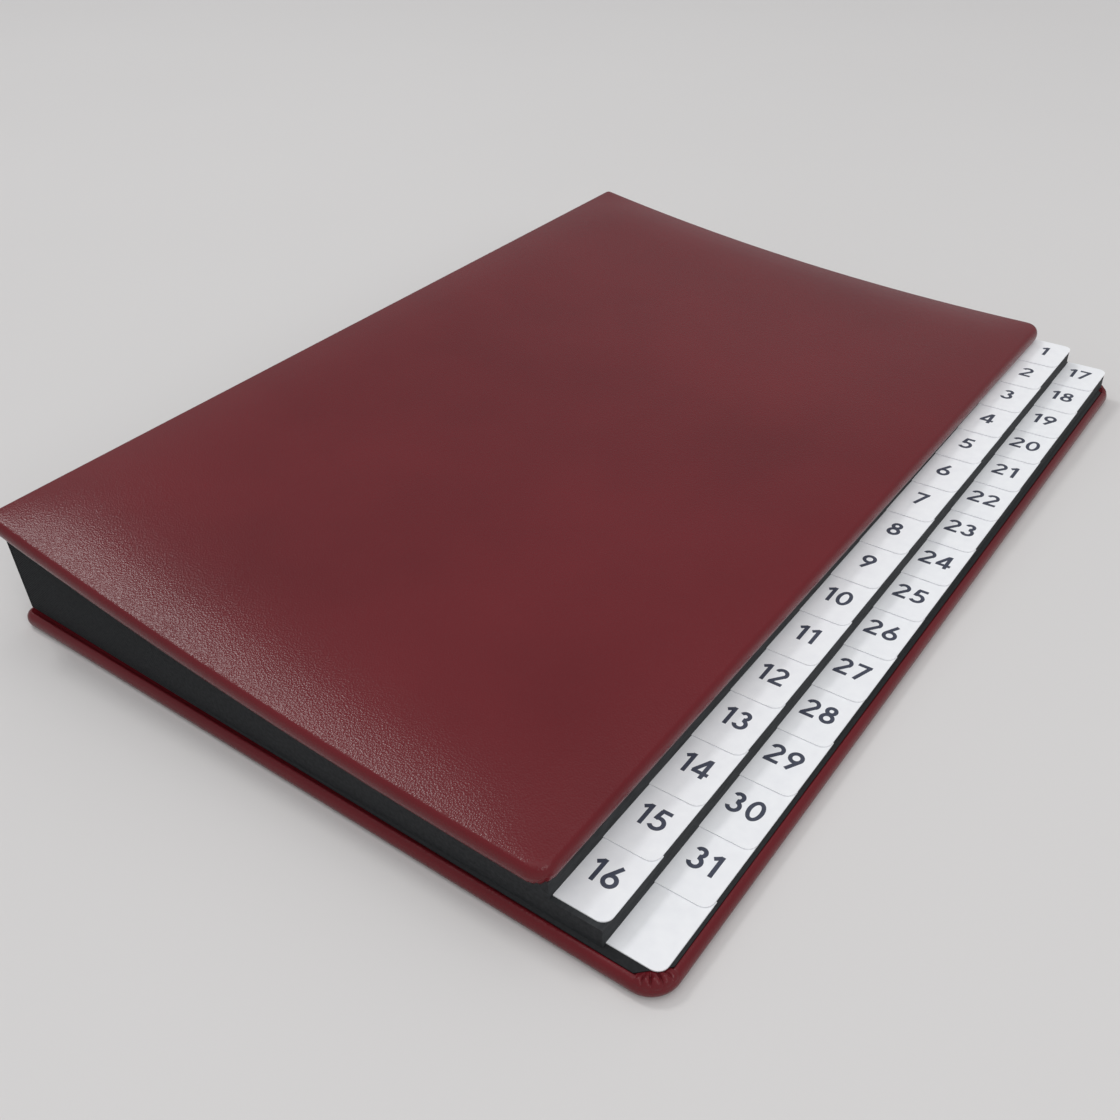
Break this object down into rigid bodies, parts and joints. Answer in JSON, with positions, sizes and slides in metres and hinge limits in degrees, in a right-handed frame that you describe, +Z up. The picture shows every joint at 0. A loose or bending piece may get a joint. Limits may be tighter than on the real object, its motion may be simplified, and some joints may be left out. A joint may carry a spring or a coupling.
{
  "type": "leather index folder",
  "caption": "Desk sorter lying flat: padded burgundy leather covers, black card dividers with two columns of numbered white tabs along the fore edge, and a black cloth spine.",
  "frame": {"origin": "middle of the back cover, on the surface that it lies on", "axes": "+X from the spine to the fore edge with its tabs, +Y along the spine from tab 16 to tab 1, +Z up"},
  "size_m": [0.239, 0.327, 0.0418],
  "materials": {
    "leather": "burgundy, fine grain, soft sheen",
    "padding": "pale foam sheet",
    "board": "grey bookbinding board",
    "lining": "black lining paper, matt",
    "card": "black card, with white tabs",
    "label": "white print, smooth",
    "cloth": "black binding cloth"
  },
  "bodies": {
    "back_cover": {"back_cover_leather": "leather", "back_cover_padding": "padding", "back_cover_board": "board", "back_cover_lining": "lining"},
    "divider_block": {"spine_strip": "cloth", "divider_01": "card", "divider_02": "card", "divider_03": "card", "divider_04": "card", "divider_05": "card", "divider_06": "card", "divider_07": "card", "divider_08": "card", "divider_09": "card", "divider_10": "card", "divider_11": "card", "divider_12": "card", "divider_13": "card", "divider_14": "card", "divider_15": "card", "divider_16": "card", "divider_17": "card", "divider_18": "card", "divider_19": "card", "divider_20": "card", "divider_21": "card", "divider_22": "card", "divider_23": "card", "divider_24": "card", "divider_25": "card", "divider_26": "card", "divider_27": "card", "divider_28": "card", "divider_29": "card", "divider_30": "card", "divider_31": "card", "divider_32": "card"},
    "front_cover": {"front_cover_leather": "leather", "front_cover_padding": "padding", "front_cover_board": "board", "front_cover_lining": "lining"}
  },
  "joints": [
    {"name": "back_cover_hinge", "type": "hinge", "parent": "back_cover", "child": "divider_block", "pos_m": [-0.11945, 0, 0.0052], "axis": [0, -1, 0], "range_deg": [0, 90]},
    {"name": "front_cover_hinge", "type": "hinge", "parent": "divider_block", "child": "front_cover", "pos_m": [-0.11945, 0, 0.03616], "axis": [0, -1, 0], "range_deg": [0, 180]}
  ]
}
